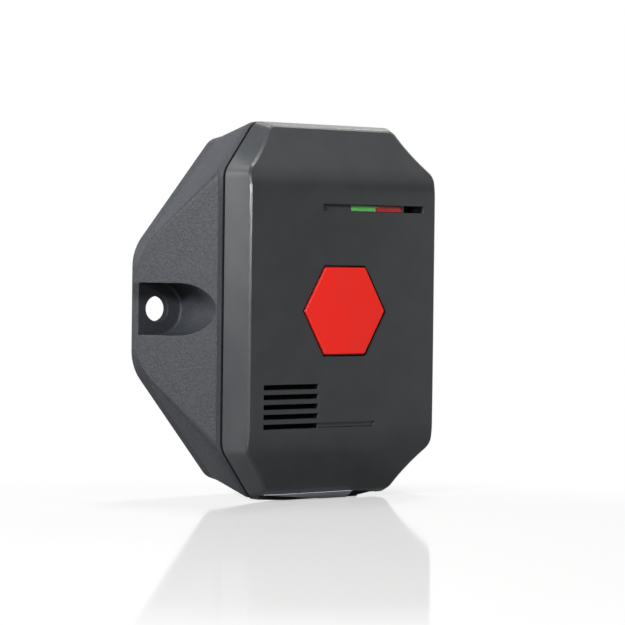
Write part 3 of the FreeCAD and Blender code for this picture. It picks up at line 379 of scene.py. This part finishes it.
def make_moulded(name, colour, roughness):
    """A plain moulded part: fine grain in its sheen and a slight change of tone."""
    plain = Material(name, colour, roughness)
    fine = plain.noise(MOULDED_GRAIN, 2.0)
    broad = plain.noise(MOULDED_GRAIN * 12, 2.0)
    plain.set("Base Color", plain.blend(broad, darker(colour, 0.82), colour))
    plain.set("Roughness", roughness - 0.08 + fine * 0.16)
    plain.relief(fine, 0.01 * MM, 0.12 * MM)
    return plain.material


def make_metal(name, colour, roughness, stretch):
    """Bare metal with drawing marks along one axis and a few duller patches."""
    metal = Material(name, colour, roughness, Metallic=1.0)
    marks = metal.noise(0.12 * MM, 2.0, stretch)
    patches = metal.noise(2.5 * MM, 3.0).rise(0.45, 0.7)
    metal.set("Base Color", metal.blend(patches, colour, darker(colour, 0.75)))
    metal.set("Roughness", roughness - 0.07 + marks * 0.14 + patches * 0.08)
    metal.relief(marks, 0.006 * MM, 0.08 * MM)
    return metal.material


def make_board(name, mask, trace):
    """Solder mask over copper: rows of fine tracks that change direction from patch to patch."""
    board = Material(name, mask, 0.35, Specular_IOR_Level=0.5, Coat_Weight=0.3, Coat_Roughness=0.15)
    across, _, up = board.place.parts()
    turned = board.noise(9 * MM, 0.0).rise(0.49, 0.51)
    covered = board.noise(6 * MM, 1.0).rise(0.46, 0.5)
    tracks = across.wave(TRACK_PITCH) * turned + up.wave(TRACK_PITCH) * (1 - turned)
    tracks = tracks.rise(0.55, 0.75) * covered
    board.set("Base Color", board.blend(tracks, mask, trace))
    board.set("Roughness", 0.3 + board.noise(0.4 * MM, 2.0) * 0.12)
    board.relief(tracks, 0.03 * MM)
    return board.material


def make_cell(name, side):
    """A plain cell: dark sleeve, a copper-coloured band by its plus end, and bare metal ends."""
    cell = Material(name, (0.03, 0.032, 0.036), 0.35)
    low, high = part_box("battery_right" if side > 0 else "battery_left")
    height = cell.place.parts()[2] * side
    foot, top = sorted((low[2] * side, high[2] * side))
    band = height.rise(top - CELL_BAND[0], top - CELL_BAND[1])
    cap = height.rise(top - CELL_CAP[0], top - CELL_CAP[1])
    bare = cap.larger(1 - height.rise(foot + CELL_FOOT[0], foot + CELL_FOOT[1]))
    sleeve = cell.blend(band, (0.026, 0.028, 0.032), (0.42, 0.17, 0.06))
    cell.set("Base Color", cell.blend(bare, sleeve, (0.62, 0.62, 0.60)))
    cell.set("Metallic", bare * 0.4 + band * 0.6)
    cell.set("Roughness", 0.28 + cell.noise(0.5 * MM, 2.0, (1.0, 1.0, 6.0)) * 0.14)
    cell.relief(cell.noise(1.5 * MM, 2.0, (1.0, 1.0, 8.0)), 0.01 * MM, 0.2 * MM)
    return cell.material


def make_speaker_film():
    """Thin pressed film with fine round ribs about the speaker's axis."""
    low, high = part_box("speaker_cone")
    film = Material("speaker_film", (0.03, 0.028, 0.026), 0.3, Specular_IOR_Level=0.5)
    middle = [(near + far) / 2 for near, far in zip(low, high)]
    ribs = film.around(middle).vector_maths("LENGTH").wave(CONE_PITCH)
    film.set("Base Color", film.blend(ribs, (0.022, 0.021, 0.020), (0.036, 0.034, 0.031)))
    film.relief(ribs, 0.08 * MM)
    return film.material


def make_capacitor_can():
    """Brushed aluminium with a dark plain sleeve round its sides."""
    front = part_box("capacitor")[0][1]
    can = Material("aluminium_can", (0.8, 0.8, 0.8), 0.3)
    sleeve = can.place.parts()[1].rise(front + CAN_SLEEVE[0], front + CAN_SLEEVE[1])
    can.set("Base Color", can.blend(sleeve, (0.75, 0.75, 0.76), (0.02, 0.022, 0.03)))
    can.set("Metallic", 1 - sleeve)
    can.set("Roughness", 0.26 + can.noise(0.3 * MM, 2.0) * 0.14)
    can.relief(can.noise(0.2 * MM, 2.0), 0.008 * MM, 0.2 * MM)
    return can.material


def dress(material, *names):
    """Gives carried-over solids their finish."""
    for name in names:
        slots = nodes[name].data.materials
        slots.clear()
        slots.append(material)


def dress_all():
    """Gives every solid its finish, and adds the tongue's parts."""
    dress(make_cover_plastic(), "front_cover")
    rubber = make_moulded("black_rubber", (0.010, 0.010, 0.011), 0.8)
    make_tongue_parts(rubber)
    dress(make_base_plastic(), "rear_housing")
    dress(make_button_plastic(), "panic_button")
    dress(make_lens("green_window", (0.042, 0.26, 0.045), (0.13, 0.54, 0.11)), "light_guide_green")
    dress(make_lens("red_window", (0.30, 0.008, 0.012), (0.45, 0.014, 0.018)), "light_guide_red")
    dress(make_cloth(), "grille_mesh")
    dress(rubber, "microphone_boot")
    dress(make_moulded("black_plastic", (0.022, 0.022, 0.024), 0.5),
          "switch_body", "spring_seat", "speaker_frame", "battery_holder", "microcontroller")
    dress(make_moulded("white_plastic", (0.72, 0.71, 0.67), 0.45),
          "switch_actuator", "led_green", "led_red")
    dress(make_metal("tinned_metal", (0.63, 0.62, 0.60), 0.34, (6.0, 1.0, 1.0)),
          "microphone", "speaker_magnet", "board_screws", "radio_shield", "crystal")
    dress(make_metal("spring_steel", (0.55, 0.55, 0.54), 0.3, (1.0, 6.0, 1.0)),
          "button_spring", "contact_plus", "contact_minus", "contact_bridge")
    dress(make_metal("brass_contact", (0.74, 0.53, 0.24), 0.3, (1.0, 1.0, 6.0)),
          "antenna", "speaker_terminals")
    dress(make_board("board_green", (0.010, 0.075, 0.035), (0.022, 0.15, 0.065)), "circuit_board")
    dress(make_board("board_blue", (0.008, 0.030, 0.115), (0.02, 0.065, 0.20)), "radio_card")
    dress(make_speaker_film(), "speaker_cone")
    dress(make_capacitor_can(), "capacitor")
    dress(make_cell("cell_right", 1), "battery_right")
    dress(make_cell("cell_left", -1), "battery_left")


def shorten_spring():
    """Gives the button spring a mesh of its own."""
    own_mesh(nodes["button_spring"])


def block(name, low, high):
    """A new piece that starts as a block between two corners, in millimetres."""
    deselect()
    bpy.ops.mesh.primitive_cube_add(size=1)
    piece = bpy.context.object
    piece.name = name
    piece.data.name = name
    bpy.ops.object.mode_set(mode="EDIT")
    bpy.ops.mesh.select_all(action="SELECT")
    bpy.ops.transform.resize(value=[(far - near) * MM for near, far in zip(low, high)])
    bpy.ops.transform.translate(value=[(far + near) / 2 * MM for near, far in zip(low, high)])
    return piece


def slice_off(point, outward):
    """Cuts the piece in hand with a plane and closes it there."""
    bpy.ops.mesh.select_all(action="SELECT")
    place = [value * MM for value in point]
    bpy.ops.mesh.bisect(plane_co=place, plane_no=outward, use_fill=True, clear_outer=True)


def finish_piece(piece, material, bevel):
    """Eases the edges of the piece in hand, gives it its material and lets it ride on the housing."""
    bpy.ops.mesh.select_all(action="SELECT")
    bpy.ops.mesh.bevel(offset=bevel * MM, offset_type="OFFSET", segments=2, affect="EDGES")
    bpy.ops.mesh.normals_make_consistent(inside=False)
    bpy.ops.object.mode_set(mode="OBJECT")
    piece.data.materials.append(material)
    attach(piece, "housing")


def make_tongue_parts(rubber):
    """The release tongue's sloping lip, which tapers to nothing at its left end, and a dark piece of
    painted shade.

    The lip's light grey is a painted reflection of the white floor. The dark piece lies behind the lip
    and beside its ends and reaches to the rim, as painted shade, and its underside rises towards both
    ends.
    """
    lip = block("tongue_lip", (-17.0, -22.4, -40.8), (6.1, -19.6, -39.2))
    slice_off((0, -22.4, -39.3), (0, -0.52, -0.85))
    slice_off((-1.0, 0, -40.8), (-0.10, 0, -1.0))
    # Painted reflection: the lip is coloured light grey to show the white floor mirrored in it.
    finish_piece(lip, make_moulded("tongue_painted_reflection", (0.62, 0.67, 0.74), 0.45), 0.05)
    # Painted shade: a dark piece put in the notch beside the tongue, where there is only shade.
    notch_shade = block("tongue_notch_shade", (-17.4, -19.5, -40.75), (14.2, -16.6, -39.4))
    slice_off((-10.5, 0, -40.75), (-0.06, 0, -1.0))
    slice_off((8.0, 0, -40.75), (0.15, 0, -1.0))
    finish_piece(notch_shade, rubber, 0.1)


def seen_share(tree, gloss_share):
    """How far a ray sees the white: wholly from the camera and through clear parts, a share in gloss."""
    camera, clear, gloss = [node(tree, "ShaderNodeLightPath", {}, {}, kind)
                            for kind in ("Is Camera Ray", "Is Transmission Ray", "Is Glossy Ray")]
    return camera.larger(clear).larger(gloss * gloss_share)


def make_floor():
    """A pale floor that keeps the object's reflection and soft shadow, and runs out into plain white."""
    low = cad_box[0][2] - FLOOR_GAP
    bpy.ops.mesh.primitive_plane_add(size=FLOOR_SIZE, location=(0, 0, low))
    floor = bpy.context.object
    floor.name = "floor"
    gloss = Material("floor_gloss", (0.42, 0.42, 0.42), 0.07, Specular_IOR_Level=0.5)
    tree = gloss.tree
    distance = gloss.around(FLOOR_MIDDLE).vector_maths("LENGTH")
    whiteness = distance.rise(*GREY_END) * (1 - GREY_WHITENESS) + GREY_WHITENESS
    white = node(tree, "ShaderNodeEmission", {}, {"Color": (1, 1, 1, 1), "Strength": 1.0})
    dim = node(tree, "ShaderNodeBsdfDiffuse", {}, {"Color": (0.13, 0.135, 0.14, 1)})
    real = Paint(tree, gloss.shader.outputs[0])
    shown = node(tree, "ShaderNodeMixShader", {}, {0: whiteness, 1: real, 2: white})
    across, along, _ = gloss.place.parts()
    card = (1 - across.rise(*CARD_RIGHT)) * (1 - along.rise(*CARD_BACK))
    seen = seen_share(tree, card * (1 - BEYOND_CARD) + BEYOND_CARD)
    mixed = node(tree, "ShaderNodeMixShader", {}, {0: seen, 1: dim, 2: shown})
    tree.links.new(mixed.socket, tree.nodes["Material Output"].inputs["Surface"])
    floor.data.materials.append(gloss.material)


def make_world():
    """Soft studio light, with a white backdrop behind the object that only camera and gloss can see."""
    world = bpy.data.worlds.new("studio")
    bpy.context.scene.world = world
    world.use_nodes = True
    tree = world.node_tree
    background = tree.nodes["Background"]
    background.inputs["Color"].default_value = (0.92, 0.95, 1.0, 1.0)
    background.inputs["Strength"].default_value = 0.04
    soft = Paint(tree, background.outputs[0])
    white = node(tree, "ShaderNodeBackground", {}, {"Color": (1, 1, 1, 1), "Strength": 1.0})
    sideways, forwards, _ = place_of(tree, "Generated").parts()
    level = sideways.rise(*BACKDROP_LEFT) * (1 - LEFT_OF_BACKDROP) + LEFT_OF_BACKDROP
    seen = seen_share(tree, forwards.rise(*BACKDROP_FRONT) * level)
    mixed = node(tree, "ShaderNodeMixShader", {}, {0: seen, 1: soft, 2: white})
    tree.links.new(mixed.socket, tree.nodes["World Output"].inputs["Surface"])


def make_lamp(name, towards, distance, size, level, colour=(1.0, 1.0, 1.0)):
    """A rectangular lamp. At a level of 1 it shows a white surface that faces it as white."""
    place = CENTRE + Vector(towards).normalized() * distance
    bpy.ops.object.light_add(type="AREA", location=place)
    lamp = bpy.context.object
    lamp.name = name
    lamp.data.shape = "RECTANGLE"
    lamp.data.size, lamp.data.size_y = size
    lamp.data.energy = level * (math.pi * distance) ** 2
    lamp.data.color = colour
    lamp.rotation_euler = (CENTRE - place).to_track_quat("-Z", "Y").to_euler()


def make_lamps():
    """The key stands well to the left and a little high, as the shadow in the screw pocket shows.

    Each of the others lights or mirrors in the one edge or face that it is named after.
    """
    make_lamp("key", (-0.846, -0.308, 0.432), 0.9, (0.09, 0.09), 1.35, (1.0, 0.985, 0.96))
    make_lamp("left_fill", (-0.85, -0.50, 0.05), 1.0, (0.7, 0.4), 0.065)
    make_lamp("edge_lamp", (-0.79, -0.60, 0.19), 0.24, (0.02, 0.02), 0.33)
    make_lamp("side_lamp", (-0.59, 0.81, 0.24), 0.31, (0.16, 0.16), 0.31)
    make_lamp("top_soft", (0.20, 0.12, 0.97), 0.8, (0.2, 0.2), 1.12)
    make_lamp("top_edge_lamp", (0.59, 0.39, 0.71), 0.6, (0.14, 0.14), 0.24, (1.0, 0.94, 0.86))
    make_lamp("right_sheen", (0.75, -0.66, 0.0), 0.5, (0.1, 0.2), 0.048)
    make_lamp("top_sheen", (0.59, -0.53, 0.62), 0.5, (0.3, 0.3), 0.056)
    make_lamp("chamfer_sheen", (-0.36, 0.69, 0.61), 0.5, (0.22, 0.22), 0.10)


def make_camera():
    """The photograph's camera, fitted to the object's outline and features."""
    bpy.ops.object.camera_add(location=CAMERA_PLACE)
    camera = bpy.context.object
    turn = Matrix.Rotation(-math.radians(VIEW_TURN), 4, "Z")
    tip = Matrix.Rotation(math.radians(90 - VIEW_TIP), 4, "X")
    roll = Matrix.Rotation(math.radians(VIEW_ROLL), 4, "Z")
    camera.rotation_euler = (turn @ tip @ roll).to_euler()
    camera.data.lens = LENS
    camera.data.sensor_width = SENSOR
    camera.data.clip_start = CLIP_START
    bpy.context.scene.camera = camera


deselect()
bpy.context.scene.view_settings.view_transform = "Standard"
make_world()
make_camera()
make_lamps()
make_floor()
dress_all()
shorten_spring()
